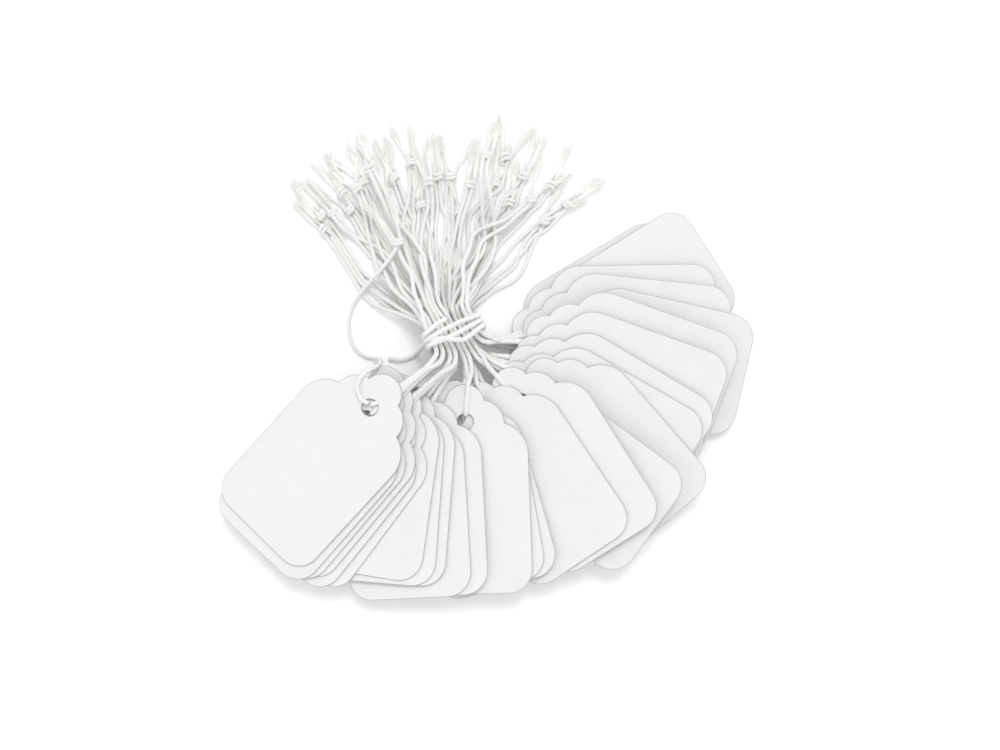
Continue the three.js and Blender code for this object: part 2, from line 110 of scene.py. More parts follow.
LEG_STOP = 3.4  # how far before the route's corner the card's own loop starts
WAIST_HEADING = 117  # degrees from x, the way the strings run through the tie
LANES, LANE_PITCH = 5, 2.3
WAIST_RUN, LANE_STEP = 4, 1.9  # half an outer lane's straight part, and what each inner one adds
STEP = 0.4  # spacing of the points along a strand

joints = {j["name"]: j for j in frame["joints"]}
hinges = [joints[f"swing_{i + 1:02d}"] for i in range(len(ROWS))]
TIE = np.array(hinges[0]["pos_m"][:2]) / MM - np.array(ROWS[0][0])
print(len(ROWS), "strings, tie at", np.round(TIE, 2), "mm")


# %% [markdown]
# ## Camera
#
# The photograph looks almost straight down, from a little in front of the bundle.

# %% Camera at the photograph's angle
def add_camera():
    elevation, distance = math.radians(86), 323.15
    target = np.array([TIE[0] + 10.286, TIE[1] - 8.886, 0.0])
    away = np.array([0, -math.cos(elevation), math.sin(elevation)])
    data = bpy.data.cameras.new("camera")
    data.lens, data.sensor_width = 50.4, 36
    data.clip_start, data.clip_end = 0.01, 10
    camera = bpy.data.objects.new("camera", data)
    camera.location = Vector((target + distance * away) * MM)
    camera.rotation_euler = Vector(away).to_track_quat("Z", "Y").to_euler()
    scene.collection.objects.link(camera)
    scene.camera = camera


add_camera()

# %% [markdown]
# ## How a string runs
#
# Seen from above, a string runs from its tail over its knot into its lane of the tie, turns
# towards its card and ends where the card's own loop starts. A smooth curve goes through
# those points. Both strands of the string follow it side by side.


# %% Route of one string seen from above
def unit(v):
    return v / np.linalg.norm(v)


def left_of(v):
    return np.array([-v[1], v[0]])


def lefts(plan):
    """The unit vector to the left at each point of a line seen from above."""
    ahead = np.gradient(plan, axis=0)
    return np.stack([-ahead[:, 1], ahead[:, 0]], axis=1) / np.linalg.norm(ahead, axis=1)[:, None]


def distances(line):
    """How far along a line each of its points lies."""
    return np.append(0, np.cumsum(np.linalg.norm(np.diff(line, axis=0), axis=1)))


THROUGH = np.array([math.cos(math.radians(WAIST_HEADING)), math.sin(math.radians(WAIST_HEADING))])
ACROSS = -left_of(THROUGH)


def in_lane(lane, along):
    return TIE + ACROSS * ((LANES - 1) / 2 - lane) * LANE_PITCH + THROUGH * along


def smooth_curve(stops, step=STEP):
    """Centripetal Catmull-Rom curve through the stops, as evenly spaced points."""
    p = np.vstack([2 * stops[0] - stops[1], stops, 2 * stops[-1] - stops[-2]])
    rows = []
    for a, b, c, d in zip(p, p[1:], p[2:], p[3:]):
        t1, t2, t3 = np.cumsum([np.linalg.norm(v) ** 0.5 for v in (b - a, c - b, d - c)])
        t = np.linspace(t1, t2, 60, endpoint=False)[:, None]
        a1, a2 = a + (b - a) * t / t1, b + (c - b) * (t - t1) / (t2 - t1)
        a3 = c + (d - c) * (t - t2) / (t3 - t2)
        b1, b2 = a1 + (a2 - a1) * t / t2, a2 + (a3 - a2) * (t - t1) / (t3 - t1)
        rows.append(b1 + (b2 - b1) * (t - t1) / (t2 - t1))
    line = np.vstack(rows + [stops[-1:]])
    return spaced(line, step)


def spaced(line, step):
    """The line again with evenly spaced points."""
    run = distances(line)
    at = np.linspace(0, run[-1], max(2, round(run[-1] / step) + 1))
    return np.stack([np.interp(at, run, line[:, k]) for k in range(line.shape[1])], axis=1)


def route(row):
    """The points from the tail to the card's loop, and where the loop lies."""
    hole, lane, knot, bow = row
    hole, knot = TIE + hole, TIE + knot
    turn = WAIST_RUN + LANE_STEP * min(lane, LANES - 1 - lane)
    corner, leave = in_lane(lane, -turn), in_lane(lane, turn)
    home = unit(corner - hole)
    reach = np.linalg.norm(corner - hole) - LEG_STOP
    out = unit(knot - leave)
    half = (leave + knot) / 2 + left_of(out) * bow
    stops = [knot + out * TAIL_LENGTH, knot, half, leave, in_lane(lane, turn - 1)]
    stops += [in_lane(lane, 1 - turn), corner, corner - home, hole + home * reach]
    return smooth_curve(np.array(stops)), home, reach


routes = [route(row) for row in ROWS]
print("longest route from tail to card:", round(max(len(r[0]) for r in routes) * STEP), "mm")

# %% [markdown]
# ## Heights and free room
#
# The CAD strings lie in one true pile, each on what is below it. Rays through them give each
# strand its height, and rays to the next card or string give the room that it has there. The
# cards swing on their strings, so the room is the least of five places of each card's swing.


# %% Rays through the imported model
def tree_of(names):
    verts, faces = [], []
    for name in names:
        mesh = frame["nodes"][name].data
        faces += [[v + len(verts) for v in p.vertices] for p in mesh.polygons]
        verts += [v.co / MM for v in mesh.vertices]
    return BVHTree.FromPolygons(verts, faces)


names = sorted(frame["nodes"])
string_trees = [tree_of([f"string_{i + 1:02d}"]) for i in range(len(ROWS))]
card_trees = {n: tree_of([n]) for n in names if n.startswith("tag_")}


def swings(joint):
    """The moves of a card's own frame that stand for five places of its swing."""
    centre, axis = Vector(joint["pos_m"]) / MM, Vector(joint["axis"])
    angles = [math.radians(a) for a in np.linspace(*joint["range_deg"], 5)]
    there, back = Matrix.Translation(centre), Matrix.Translation(-centre)
    return [there @ Matrix.Rotation(-a, 4, axis) @ back for a in angles]


card_swings = {f"tag_{i + 1:02d}": swings(hinge) for i, hinge in enumerate(hinges)}


def hit(tree, point, way):
    found = tree.ray_cast(Vector(point), Vector(way))
    return np.inf if found[3] is None else found[3]


def room(point, way, own, strings=False):
    """How far it is from a point to the next card, or string, in that direction."""
    at, to = Vector(point), Vector(way)
    near = np.inf
    for name, tree in card_trees.items():
        if name != own:
            near = min(near, *(hit(tree, turn @ at, turn.to_3x3() @ to) for turn in card_swings[name]))
    for k, tree in enumerate(string_trees):
        if strings and f"tag_{k + 1:02d}" != own:
            near = min(near, hit(tree, point, way))
    return near


def softened(values, reach=3):
    """Each value as the mean of its neighbours."""
    padded = np.pad(values, reach, mode="edge")
    return np.convolve(padded, np.ones(2 * reach + 1) / (2 * reach + 1), mode="valid")


ABOVE, BELOW = 40, 5  # where rays start, clear of the bundle


def heights(plan, index):
    """Underside and thickness of the CAD string along a route."""
    low, thick = np.full(len(plan), np.nan), np.full(len(plan), np.nan)
    for k, (x, y) in enumerate(plan):
        down = hit(string_trees[index], (x, y, ABOVE), (0, 0, -1))
        up = hit(string_trees[index], (x, y, -BELOW), (0, 0, 1))
        if down < np.inf and up < np.inf:
            low[k], thick[k] = up - BELOW, ABOVE + BELOW - down - up
    known = np.flatnonzero(~np.isnan(low))
    everywhere = np.arange(len(plan))
    return np.interp(everywhere, known, low[known]), np.interp(everywhere, known, thick[known])


profiles = [heights(r[0], i) for i, r in enumerate(routes)]
print("highest string:", round(max(float((low + t).max()) for low, t in profiles), 1), "mm")

# %% [markdown]
# ## Making strands
#
# A strand is a tube of flattened rings. Two plies twist round each other, so a ring has two
# low lobes that turn along the strand. Each point carries its place along and round the
# strand, in millimetres, for the cotton's pattern.

# %% Tubes
RADIUS = STRAND / 2
FREE_RADIUS = RADIUS * 0.95  # a free strand's own, a little less than the room it takes
PLY_PITCH = 3.4


def add_tube(bm, line, sides, wide, high, around=12, lobe=0.07, shift=0.0, slot=0):
    """A closed tube along a line. sides: the rings' side vectors; wide, high: half sizes."""
    uv = bm.loops.layers.uv.verify()
    ahead = np.gradient(line, axis=0)
    ahead /= np.linalg.norm(ahead, axis=1)[:, None]
    sides = sides - ahead * np.sum(sides * ahead, axis=1)[:, None]
    sides /= np.linalg.norm(sides, axis=1)[:, None]
    ups = np.cross(sides, ahead)
    run = shift + distances(line)
    turn = np.linspace(0, 2 * math.pi, around, endpoint=False)
    rings = []
    for k, centre in enumerate(line):
        swell = 1 + lobe * np.cos(2 * (turn - 2 * math.pi * run[k] / PLY_PITCH))
        ring = centre + np.outer(np.cos(turn) * swell * wide[k], sides[k])
        ring = ring + np.outer(np.sin(turn) * swell * high[k], ups[k])
        rings.append([bm.verts.new(Vector(p * MM)) for p in ring])
    for k in range(len(rings) - 1):
        for j in range(around):
            n = (j + 1) % around
            face = bm.faces.new((rings[k][j], rings[k][n], rings[k + 1][n], rings[k + 1][j]))
            face.smooth = True
            face.material_index = slot
            corners = ((run[k], j), (run[k], j + 1), (run[k + 1], j + 1), (run[k + 1], j))
            for loop, (u, v) in zip(face.loops, corners):
                loop[uv].uv = (u, v / around)
    for ring, place, flip in ((rings[0], run[0], True), (rings[-1], run[-1], False)):
        face = bm.faces.new(ring[::-1] if flip else ring)
        face.material_index = slot
        for loop in face.loops:
            loop[uv].uv = (place, 0.5)


def piece_from(bm, name):
    bmesh.ops.recalc_face_normals(bm, faces=bm.faces)
    mesh = bpy.data.meshes.new(name)
    bm.to_mesh(mesh)
    bm.free()
    piece = bpy.data.objects.new(name, mesh)
    scene.collection.objects.link(piece)
    return piece


# %% [markdown]
# ## Settling the free strands
#
# Beyond the tie the strands are free. Each one starts on its route with a soft wave of its
# own, above the others where it was laid later. Then all sink together: every point falls a
# little, is pushed out of its neighbours, and keeps its distance along the strand.

# %% Start and settle
GRAIN = 0.6  # spacing of the settling points
FREE_FROM = 5.0  # past the tie's middle, where the strands become free
HELD_TO = FREE_FROM - 2  # where the settling lines end inside the tie
WAVES = ((0.55, 21), (0.35, 11), (0.16, 6.5))  # height and length of the waves
SWEEPS = {4: 4, 6: 7.5, 9: 3, 12: -4, 15: 2.5, 16: 3, 19: -2.5, 21: 2, 22: 3, 24: 1.8, 25: 2.2}  # by tag
LOOSE = 26  # row of the top tag, whose one strand isn't in the tie but lies beside it


def free_strand(index, sign, rng):
    """One strand from its tail to the tie: its points, which ones are held, and the knot's."""
    plan = routes[index][0]
    low, thick = profiles[index]
    past = (plan - TIE) @ THROUGH
    last = int(np.argmax(past < HELD_TO))
    run = np.arange(last) * STEP
    length = run[-1] - TAIL_LENGTH
    share = np.clip((run - TAIL_LENGTH) / length, 0, 1)
    side = lefts(plan[:last])
    bell = np.sin(math.pi * share) ** 1.5
    wave = sum(rng.normal(0, a) * np.sin(2 * math.pi * run / w + rng.uniform(0, 7)) for a, w in WAVES)
    offset = sign * (0.5 + rng.uniform(0.1, 1.1) * bell) + wave * np.clip(3 * bell, 0, 1)
    offset -= SWEEPS.get(index + 1, 0) * bell
    in_tail = np.clip((TAIL_LENGTH - run) / TAIL_LENGTH, 0, 1)
    offset += sign * rng.uniform(0.4, 2.6) * in_tail + rng.normal(0, 2.2) * in_tail**2
    offset *= 1 - 0.1 * (run < TAIL_LENGTH + 1.2)
    at = plan[:last] + side * offset[:, None]
    z = low[:last] + thick[:last] / 2 + index * 0.12 * bell
    line = spaced(np.column_stack([at, z]), GRAIN)
    held = (line[:, :2] - TIE) @ THROUGH < FREE_FROM
    return line, held, round(TAIL_LENGTH / GRAIN)


FALL, PUSH, MOST_PUSH, PULL, BEND, RETURN = 0.05, 0.3, 0.4, 0.25, 0.25, 0.02  # in one step
SOFT = 0.03  # strands press this far into what they touch
KNOT_SIZE, KNOT_LOW, KNOT_POINTS = 1.0, 1.2, 3


def settle(strands, knots, held, steps):
    """Lets the strands sink onto each other and the table; all points at once."""
    owner = np.concatenate([np.full(len(line), k) for k, line in enumerate(strands)])
    place = np.concatenate([np.arange(len(line)) for line in strands])
    from_knot = np.abs(place - np.array(knots)[owner])
    points = np.vstack(strands)
    first = np.cumsum([0] + [len(line) for line in strands[:-1]])
    link = np.flatnonzero(owner[:-1] == owner[1:])
    rest = np.linalg.norm(points[link + 1] - points[link], axis=1)
    size = np.full(len(points), RADIUS - SOFT)
    for k in range(len(strands)):
        size[first[k] + knots[k] - 1:first[k] + knots[k] + 2] = KNOT_SIZE
    start, free = points.copy(), ~held
    for _ in range(steps):
        points[free, 2] -= FALL
        tree = KDTree(len(points))
        for k, p in enumerate(points):
            tree.insert(p, k)
        tree.balance()
        near = ((k, tree.find_range(points[k], size[k] + RADIUS)) for k in np.flatnonzero(free))
        pairs = {(min(k, n), max(k, n)) for k, found in near for _, n, _ in found}
        pairs = np.array([
            (a, b) for a, b in pairs
            if owner[a] // 2 != owner[b] // 2
            or (owner[a] != owner[b] and min(from_knot[a], from_knot[b]) > KNOT_POINTS)
        ])
        a, b = pairs[:, 0], pairs[:, 1]
        apart = points[b] - points[a]
        far = np.linalg.norm(apart, axis=1)
        deep = np.clip(size[a] + size[b] - far, 0, MOST_PUSH)
        push = apart / np.maximum(far, 1e-6)[:, None] * deep[:, None] * PUSH
        np.add.at(points, a, -push * free[a][:, None])
        np.add.at(points, b, push * free[b][:, None])
        for _ in range(3):
            gap = points[link + 1] - points[link]
            now = np.linalg.norm(gap, axis=1)
            pull = gap * ((now - rest) / np.maximum(now, 1e-6) * PULL)[:, None]
            np.add.at(points, link, pull * free[link][:, None])
            np.add.at(points, link + 1, -pull * free[link + 1][:, None])
        inner = link[1:][link[1:] - link[:-1] == 1]
        bend = (points[inner - 1] + points[inner + 1]) / 2 - points[inner]
        points[inner] += BEND * bend * free[inner][:, None]
        points[free, :2] += RETURN * (start[free, :2] - points[free, :2])
        for k in range(0, len(strands), 2):
            one, two = first[k] + knots[k], first[k + 1] + knots[k + 1]
            middle = (points[one, 2] + points[two, 2]) / 2
            points[one, 2] = points[two, 2] = max(middle, KNOT_LOW)
            points[[one, two], :2] = start[[one, two], :2]
        points[:, 2] = np.maximum(points[:, 2], RADIUS)
    return [points[f:f + len(line)] for f, line in zip(first, strands)]


strands, held, knots = [], [], []
for i in range(len(ROWS)):
    rng = np.random.default_rng(100 + i)
    for sign in (1, -1):
        line, fixed, at_knot = free_strand(i, sign, rng)
        strands.append(line)
        held.append(fixed)
        knots.append(at_knot)
free_lines = settle(strands, knots, np.concatenate(held), 90)
highest = max(line[:, 2].max() for line in free_lines)
print(sum(len(line) for line in strands), "points settled, highest", round(highest, 1), "mm")

# %% [markdown]
# ## Strands that lie on top
#
# The top tag has one strand that runs outside the tie. It falls off the pile onto the table
# and climbs over the card's crown to the hole. A strand that lies on top takes its height
# from what is right below it.


# %% Draping a line over what is below
settled = np.vstack([line for k, line in enumerate(free_lines) if k // 2 != LOOSE])
below_trees = list(card_trees.values()) + string_trees
NEARBY = 0.8  # settled strands this near carry it
CLIMB, JOIN = 6, 8  # points over which it climbs, and over which its ends meet a given height


def top_at(x, y):
    """Height of the topmost thing below, the table included."""
    if (np.array([x, y]) - TIE) @ THROUGH > FREE_FROM:
        near = settled[np.hypot(settled[:, 0] - x, settled[:, 1] - y) < NEARBY]
        return near[:, 2].max() + RADIUS if len(near) else 0.0
    return max([0.0] + [ABOVE - hit(tree, (x, y, ABOVE), (0, 0, -1)) for tree in below_trees])


def draped(stops, radius, first=None, last=None):
    """A smooth line through the stops seen from above, lying on what is below."""
    plan = smooth_curve(np.array(stops, float), STEP)
    top = np.array([top_at(x, y) for x, y in plan])
    wide = np.pad(top, CLIMB, mode="edge")
    top = np.max([wide[k:k + len(top)] for k in range(2 * CLIMB + 1)], axis=0)
    z = softened(top, 4) + radius
    if first is not None:
        z = first + (z - first) * np.clip(np.arange(len(z)) / JOIN, 0, 1)
    if last is not None:
        z = last + (z - last) * np.clip(np.arange(len(z))[::-1] / JOIN, 0, 1)
    return np.column_stack([plan, z])


def loose_strand():
    """The top tag's loose strand from its knot, outside the tie, to the hole."""
    at = knots[2 * LOOSE]
    knot = free_lines[2 * LOOSE][at]
    hole = np.array(hinges[LOOSE]["pos_m"]) / MM
    turns = [(-15.5, 16.9), (-18.5, 13.4), (-21.5, 10.4), (-23.8, 6.9), (-24.7, 3.5)]
    turns += [(-24.2, -0.7), (-22.6, -3.4), (-20.3, -4.8), (-18.0, -5.0), (-16.5, -6.0)]
    turns += [(-16.8, -7.5), (-18.7, -8.7), (-20.6, -10.4), (-21.4, -12.8), (-20.5, -15.1)]
    stops = [knot[:2]] + [TIE + t for t in turns] + [hole[:2] + (-0.9, 0.5)]
    return draped(stops, RADIUS, first=knot[2], last=hole[2] + 0.3)


# %% [markdown]
# ## Path of one string
#
# One strand runs from the knot to the card on one side of the route, lies over the card,
# drops through the hole, and comes back beneath the card and on the route's other side.
# Where something lies on the strand it is pressed flat, and elsewhere it is round.

# %% The two strands of a string
THINNEST, WIDEST = 0.06, 0.62  # half height and half width of a strand pressed flat
AIR = 0.02  # left between a strand and what it lies on
MOST_ROOM = 2  # room is measured up to here
LOOP_FROM, BEND_RADIUS = 2.3, 1.35  # from the hole's middle: the loop's flat parts and its bend


def pressed(gap):
    """Half height and half width of a strand that has this much room in height."""
    high = np.clip(gap / 2, THINNEST, FREE_RADIUS)
    return high, np.clip(RADIUS * RADIUS / high, FREE_RADIUS, WIDEST)


def beside(index):
    """Both strands from the knot to the card's loop: points, side vectors, half sizes."""
    plan = routes[index][0]
    low, thick = profiles[index]
    past = (plan - TIE) @ THROUGH
    start = int(np.argmax(past < HELD_TO))
    plan, low, thick = plan[start:], low[start:], thick[start:]
    plan = np.column_stack([softened(plan[:, k], 6) for k in range(2)])
    side = lefts(plan)
    name = f"tag_{index + 1:02d}"
    spots = [(x, y, z + 0.03) for (x, y), z in zip(plan, low)]
    gap = np.array([min(room(spot, (0, 0, 1), name, True), MOST_ROOM) for spot in spots])
    gap = softened(np.maximum(thick, np.minimum(gap - 0.05, 2 * FREE_RADIUS)), 2)
    high, wide = pressed(np.minimum(gap, np.maximum(thick * 1.15, 0.12)))
    z = softened(low + high + AIR, 2)
    wide = np.minimum(wide, RADIUS)
    share = np.clip(np.linspace(0, 1, len(plan)) * 1.6 - 0.6, 0, 1)
    splay = RADIUS + np.random.default_rng(900 + index).uniform(0.02, 0.3) * np.sin(math.pi * share)
    both = []
    for k, sign in enumerate((1, -1)):
        free = spaced(free_lines[2 * index + k][knots[2 * index + k]:], STEP)
        rest = np.column_stack([plan + side * (splay * sign)[:, None], z])
        line = np.vstack([free, rest])
        round_size = np.full(len(free), FREE_RADIUS)
        sides = np.column_stack([np.vstack([lefts(free[:, :2]), side]), np.zeros(len(line))])
        both.append((line, sides, np.append(round_size, high), np.append(round_size, wide)))
    return both


def card_loop(index):
    """The string's loop over and under its card: points above, through the hole, beneath."""
    _, home, reach = routes[index]
    joint = hinges[index]
    normal = np.array(joint["axis"])
    normal *= np.sign(normal[2])
    centre = np.array(joint["pos_m"]) / MM
    climb = -(home[0] * normal[0] + home[1] * normal[1]) / normal[2]
    along = unit(np.array([*home, climb]))
    name = f"tag_{index + 1:02d}"
    across = np.cross(normal, along)
    runs = np.arange(reach, LOOP_FROM, -STEP)
    parts = []
    for sign in (1, -1):
        points, gaps = [], []
        for s in runs:
            base = centre + along * s + normal * sign * (CARD_THICKNESS / 2 + AIR)
            spots = [base + normal * sign * 0.01 + across * off for off in (-RADIUS, 0, RADIUS)]
            gap = min([MOST_ROOM] + [room(spot, normal * sign, name) for spot in spots]) - 0.1
            floor_room = base[2] - AIR if sign < 0 else MOST_ROOM
            gaps.append(min(gap, floor_room, 2 * FREE_RADIUS))
        high, wide = pressed(softened(np.array(gaps), 3))
        high = np.minimum(high, np.maximum(np.array(gaps) / 2, THINNEST))
        for s, h in zip(runs, high):
            points.append(centre + along * s + normal * sign * (CARD_THICKNESS / 2 + AIR + h))
        parts.append((np.array(points), high, wide))
    bend = []
    for angle in np.linspace(75, -75, 7):
        a = math.radians(angle)
        lift = parts[0][1][-1] if angle > 0 else parts[1][1][-1]
        rise = normal * math.sin(a) * (CARD_THICKNESS / 2 + lift)
        bend.append(centre + along * (BEND_RADIUS + 0.75 * (1 - math.cos(a))) + rise)
    side = np.array([*left_of(-home), 0.0])
    return parts, np.array(bend), side


def joined(index):
    """The whole path from the knot to the card and back, with rings' sides and sizes."""
    first, second = beside(index)
    (over, under), bend, side = card_loop(index)
    if index == LOOSE:
        line = loose_strand()
        size = np.full(len(line), FREE_RADIUS)
        first = (line, np.column_stack([lefts(line[:, :2]), np.zeros(len(line))]), size, size)
        over = [values[:0] for values in over]
    back = [values[::-1] for values in second]
    line = np.vstack([first[0], over[0], bend, under[0][::-1], back[0]])
    n = len(over[0]) + len(bend) + len(under[0])
    sides = np.vstack([first[1], np.tile(side, (n, 1)), back[1]])
    mid = np.full(len(bend), RADIUS * 0.8)
    high = np.concatenate([first[2], over[1], mid, under[1][::-1], back[2]])
    wide = np.concatenate([first[3], over[2], mid * 1.3, under[2][::-1], back[3]])
    smooth = np.column_stack([softened(line[:, k], 3) for k in range(3)])
    high = softened(high, 1)
    smooth[:, 2] = np.maximum(smooth[:, 2], 1.08 * high)
    return smooth, sides, high, softened(wide, 1)


paths = [joined(i) for i in range(len(ROWS))]


# %% [markdown]
# ## Knots and frayed tails
#
# Both strands end in one overhand knot, and two short tails leave it. Each tail frays into
# a soft brush of single cotton fibres.

# %% Knot and tails of one string
def knot_line(knot, out, rng):
    """One strand wound one and a half times round the others, a little askew."""
    askew = rng.normal(0, 0.35)
    out = out * math.cos(askew) + left_of(out) * math.sin(askew)
    side = np.array([*left_of(out), 0.0])
    ahead, up = np.array([*out, 0.0]), np.array([0, 0, 1.0])
    turn = np.linspace(-0.3 * math.pi, 3.1 * math.pi, 44) + rng.uniform(-0.6, 0.6)
    slide = (turn - 1.4 * math.pi) / (2 * math.pi) * rng.uniform(0.75, 1.05)
    lean = rng.choice([-1, 1]) * rng.uniform(0.25, 0.5) * np.sin(turn)
    line = knot + np.outer(slide + lean, ahead)
    line = line + np.outer(np.cos(turn) * 0.98, side) + np.outer(np.sin(turn) * 0.62, up)
    return line, np.tile(ahead, (len(line), 1))


FIBRES, COARSE_ONES = 40, 18  # of one tail
COARSE, FINE = 0.16, 0.05  # radius of its fibres


def add_filament(bm, tail, start, aim, thick, rng):
    """A filament from inside the tail out into the brush, thinner towards its end."""
    t = np.linspace(0, 1, 9)[:, None]
    middle = tail[min(len(tail) - 1, len(tail) // 2 + 2)] + (start - tail[0]) + (aim - tail[-1]) * 0.35
    line = start * (1 - t) ** 2 + 2 * middle * t * (1 - t) + aim * t**2
    line[1:] += rng.normal(0, 0.05, (8, 3)) * t[1:]
    line[:, 2] = np.maximum(line[:, 2], thick)
    size = thick * (1 - 0.6 * t[:, 0] ** 2)
    sides, around = np.tile(rng.normal(size=3), (9, 1)), 5 if thick == COARSE else 3
    add_tube(bm, line, sides, size, size, around, lobe=0, shift=rng.uniform(0, 40), slot=1)


def add_tail(bm, tail, rng):
    """A tail strand from its knot outwards that opens into a brush of filaments."""
    stem = spaced(tail, 0.35)
    solid = int(rng.integers(7, 13))
    size = RADIUS * np.linspace(0.95, 0.6, solid + 2)
    ahead = unit(tail[-1] - tail[0])
    side = unit(np.cross((0, 0, 1), ahead))
    add_tube(bm, stem[:solid + 2], np.tile(side, (solid + 2, 1)), size, size)
    up = np.cross(ahead, side)
    for k in range(FIBRES):
        coarse = k < COARSE_ONES
        angle, off = rng.uniform(0, 2 * math.pi), math.sqrt(rng.random())
        ring = side * math.cos(angle) * off + up * math.sin(angle) * off * 0.7
        start = stem[int(rng.integers(solid - 4, solid))] + ring * 0.3
        reach = rng.uniform(-2.6, 0.4) if coarse else rng.uniform(-2.0, 2.4)
        fan = ring * (0.75 if coarse else 1.3) + side * rng.normal(0, 0.25 if coarse else 0.6)
        aim = stem[-1] + fan + ahead * reach
        add_filament(bm, stem[solid:], start, aim, COARSE if coarse else FINE, rng)


def add_ends(bm, index, rng):
    one, two = free_lines[2 * index], free_lines[2 * index + 1]
    at, other = knots[2 * index], knots[2 * index + 1]
    knot = (one[at] + two[other]) / 2
    out = unit((one[at - 4] + two[other - 4] - one[at + 4] - two[other + 4])[:2])
    line, sides = knot_line(knot, out, rng)
    size = np.full(len(line), RADIUS * 0.92)
    add_tube(bm, line, sides, size, size)
    for tail in (one[:at + 1][::-1], two[:other + 1][::-1]):
        add_tail(bm, tail, rng)


# %% [markdown]
# ## The strings
#
# Each string is built as its strand and a piece with its knot and tails, both fixed to the bundle in place
# of the CAD string, which is hidden.

for i, (line, sides, high, wide) in enumerate(paths):
    name = f"string_{i + 1:02d}"
    bm = bmesh.new()
    add_tube(bm, line, sides, wide, high)
    strand = piece_from(bm, f"strand_{i + 1:02d}")
    bm = bmesh.new()
    add_ends(bm, i, np.random.default_rng(500 + i))
    ends = piece_from(bm, f"knot_and_tails_{i + 1:02d}")
    for piece in (strand, ends):
        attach(piece, "bundle")
        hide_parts(name)
print("27 strings built")

# %% [markdown]
# ## The tie
#
# A cord is wound three times round the waist of the bundle. Its loops lie side by side as
# rounded rectangles whose tops slope with the pile.

# %% Wind the tie
TIE_STRAND, TIE_TURNS, TIE_PITCH, TIE_CORNER, WRAP_GAP = 1.1, 3, 1.6, 2, 0.3
TIE_HALF = LANES * LANE_PITCH / 2 + WRAP_GAP + TIE_STRAND / 2  # half a turn's width
SPACING, MORE_ON_TOP = 0.74, 0.5  # of the turns, as parts of the pitch
TOP_LEFT, TOP_RIGHT = 16.37, 12.13  # height of the strings at the two sides of the waist


def tie_loop():
    """One turn seen along the waist, from the middle of its top: across and up."""
    low, high = TIE_STRAND / 2 + 0.05, TOP_LEFT + 2 * WRAP_GAP + TIE_STRAND / 2
    r, half = TIE_CORNER, TIE_HALF
    corners = [(r - half, high - r, 90), (r - half, low + r, 180)]
    corners += [(half - r, low + r, 270), (half - r, high - r, 0)]
    line = [(0, high)]
    for x, y, first in corners:
        for angle in np.radians(np.linspace(first, first + 90, 13)):
            line.append((x + r * math.cos(angle), y + r * math.sin(angle)))
    return spaced(np.array(line + [(0, high)]), 0.5)


def tie_end():
    """The tie's loose end: over its turns at the left and down onto the cards there."""
    stops = [(-1.2, -1.9), (-4.2, -2.2), (-7.2, -3.0), (-9.9, -4.6), (-12.6, -5.5), (-15.6, -5.0)]
    return draped([TIE + stop for stop in stops], TIE_STRAND / 2)


def tie_line():
    """The whole cord: its turns, spread wider on top, sloping with the pile, and its end."""
    loop = tie_loop()
    turns = np.vstack([loop[:-1]] * TIE_TURNS + [loop[:1]])
    arch = np.clip(turns[:, 1] - TOP_LEFT + 1, 0, 1) * np.cos(turns[:, 0] / TIE_HALF * math.pi / 2)
    slide = (TIE_TURNS / 2 - np.linspace(0, TIE_TURNS, len(turns))) * TIE_PITCH
    slide = slide * (SPACING + MORE_ON_TOP * arch)
    share = np.clip(0.5 + turns[:, 0] / (LANES * LANE_PITCH), 0, 1)
    lower = (TOP_LEFT - TOP_RIGHT) * share
    z = turns[:, 1] - lower * (turns[:, 1] - TIE_STRAND / 2) / (TOP_LEFT - TIE_STRAND / 2)
    at = TIE + np.outer(turns[:, 0], ACROSS) + np.outer(slide, THROUGH)
    line = np.vstack([np.column_stack([at, z]), tie_end()])
    return spaced(np.column_stack([softened(line[:, k], 2) for k in range(3)]), STEP)


bm = bmesh.new()
line = tie_line()
size = np.full(len(line), TIE_STRAND / 2)
add_tube(bm, line, np.tile([*THROUGH, 0.0], (len(line), 1)), size, size, around=16)
tie = piece_from(bm, "wound_tie")
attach(tie, "bundle")
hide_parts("tie")
print("tie cord:", round(len(line) * STEP), "mm")

# %% [markdown]
# ## The cards
#
# Each card is made again in the CAD card's place with finely rounded lobes and corners. Its
# outline runs about the hole, with x towards the far end, and is mirrored in that axis.

# %% Cut the 27 cards
CORNER, HOLE_RADIUS, SHOULDER_ALONG, LOBE_RISE, CROWN_RISE = 5.5, 1.9, 7, 1.25, 3.8
SIDE_NOTCH, CROWN_NOTCH = (0.6, 8.9), (-4.7, 4.45)
CUT_EDGE = 0.13  # the die presses each rim down to a narrow slope, which takes the painted edge shade
RIM_ANGLE = 1.2  # radians, an edge sharper than this is a rim


def arc_to(shape, end, rise, steps=14):
    """An arc from the shape's last point to end, swelling to the right by rise."""
    start, end = np.array(shape[-1], float), np.array(end, float)
    chord = end - start
    radius = (chord @ chord / 4 + rise**2) / (2 * rise)
    centre = (start + end) / 2 + left_of(unit(chord)) * (radius - rise)
    first, last = (math.atan2(v[1], v[0]) for v in (start - centre, end - centre))
    for angle in first + np.linspace(0, (last - first) % (2 * math.pi), steps + 1)[1:]:
        shape.append((centre[0] + radius * math.cos(angle), centre[1] + radius * math.sin(angle)))


